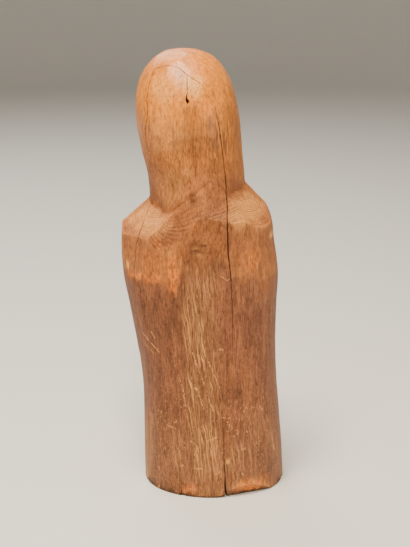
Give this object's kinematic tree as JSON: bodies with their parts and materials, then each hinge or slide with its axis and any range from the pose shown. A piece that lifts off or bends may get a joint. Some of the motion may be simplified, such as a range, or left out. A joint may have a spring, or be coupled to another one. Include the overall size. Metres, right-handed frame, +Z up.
{
  "type": "carved wooden madonna statue",
  "caption": "Standing praying Madonna carved from one length of log, with a veiled head, joined hands and an open mantle over a pleated robe, on a flat sawn foot.",
  "frame": {"origin": "middle of the footprint's bounding box on the flat underside", "axes": "+Z up the figure, the face looks along -Y, her left is +X"},
  "size_m": [0.1194, 0.106, 0.32],
  "materials": {
    "wood": "aged reddish brown wood, rubbed to a soft waxed sheen on the head, with drying splits and worn, scratched sides"
  },
  "bodies": {
    "root": {"madonna": "wood"}
  },
  "joints": []
}
